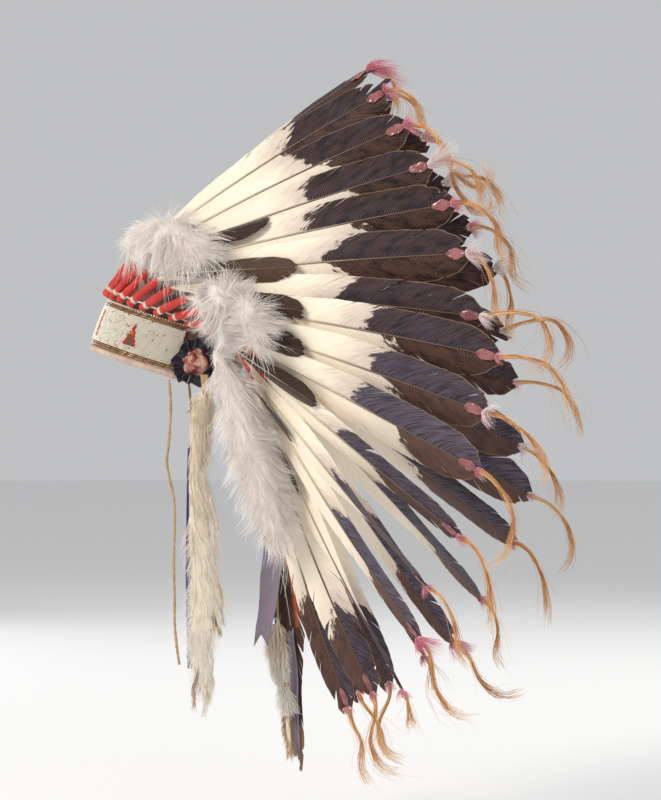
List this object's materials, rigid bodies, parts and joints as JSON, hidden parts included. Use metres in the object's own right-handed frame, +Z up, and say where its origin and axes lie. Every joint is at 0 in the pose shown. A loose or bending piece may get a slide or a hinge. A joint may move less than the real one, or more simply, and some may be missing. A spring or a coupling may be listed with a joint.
{
  "type": "feathered headdress",
  "caption": "Felt cap with a beaded brow band and a swept fan of long white and dark feathers in red wool wraps, with down, horsehair tips, side rosettes and fur drops.",
  "frame": {"origin": "the inside top of the cap, where the crown of the head that holds it up meets it", "axes": "+Z up, the wearer faces -Y and the wearer's left side is +X; the cap is pitched back so its rim rises towards the brow"},
  "size_m": [0.4965, 0.5682, 0.8136],
  "materials": {
    "felt": "matt brown wool felt",
    "seed_beads": "opaque glossy seed beads in slanted rows",
    "amber_beads": "translucent amber tube beads, glossy",
    "rim_hide": "soft padded hide with cross creases",
    "red_wool": "fuzzy red trade wool with a pale thread band",
    "eagle_vane": "white feather vane with a dark brown end, satin barbs",
    "brown_feather": "brown feather vane, satin barbs",
    "down": "white down, very soft",
    "pleated_cloth": "dark purple pleated silk",
    "copper_foil": "crumpled glossy copper-pink foil",
    "white_fur": "short white winter fur",
    "blue_cloth": "blue-violet cloth",
    "thong_hide": "twisted tan hide",
    "ribbon": "greyed lavender silk ribbon"
  },
  "bodies": {
    "root": {"cap": "felt", "brow_band": "seed_beads", "upper_edging": "amber_beads", "lower_edging": "amber_beads", "rim_roll": "rim_hide", "wraps_left": "red_wool", "coverts_left": "brown_feather", "fluff_front_left": "down", "fluff_middle_left": "down", "fluff_back_left": "down", "rosette_left": "pleated_cloth", "rosette_centre_left": "copper_foil", "ermine_left": "white_fur", "blue_strip_left": "blue_cloth", "thong_left": "thong_hide", "feather_centre": "eagle_vane", "feather_left_01": "eagle_vane", "feather_left_02": "eagle_vane", "feather_left_03": "eagle_vane", "feather_left_04": "eagle_vane", "feather_left_05": "eagle_vane", "feather_left_06": "eagle_vane", "feather_left_07": "eagle_vane", "feather_left_08": "eagle_vane", "feather_left_09": "eagle_vane", "feather_left_10": "eagle_vane", "feather_left_11": "eagle_vane", "feather_left_12": "eagle_vane", "feather_left_13": "eagle_vane", "feather_left_14": "eagle_vane", "feather_left_15": "eagle_vane", "wraps_right": "red_wool", "coverts_right": "brown_feather", "fluff_front_right": "down", "fluff_middle_right": "down", "fluff_back_right": "down", "rosette_right": "pleated_cloth", "rosette_centre_right": "copper_foil", "ermine_right": "white_fur", "blue_strip_right": "blue_cloth", "thong_right": "thong_hide", "feather_right_01": "eagle_vane", "feather_right_02": "eagle_vane", "feather_right_03": "eagle_vane", "feather_right_04": "eagle_vane", "feather_right_05": "eagle_vane", "feather_right_06": "eagle_vane", "feather_right_07": "eagle_vane", "feather_right_08": "eagle_vane", "feather_right_09": "eagle_vane", "feather_right_10": "eagle_vane", "feather_right_11": "eagle_vane", "feather_right_12": "eagle_vane", "feather_right_13": "eagle_vane", "feather_right_14": "eagle_vane", "feather_right_15": "eagle_vane", "ribbon_broad": "ribbon", "ribbon_narrow": "ribbon", "fur_tail": "white_fur", "hanging_feather": "brown_feather"}
  },
  "joints": []
}
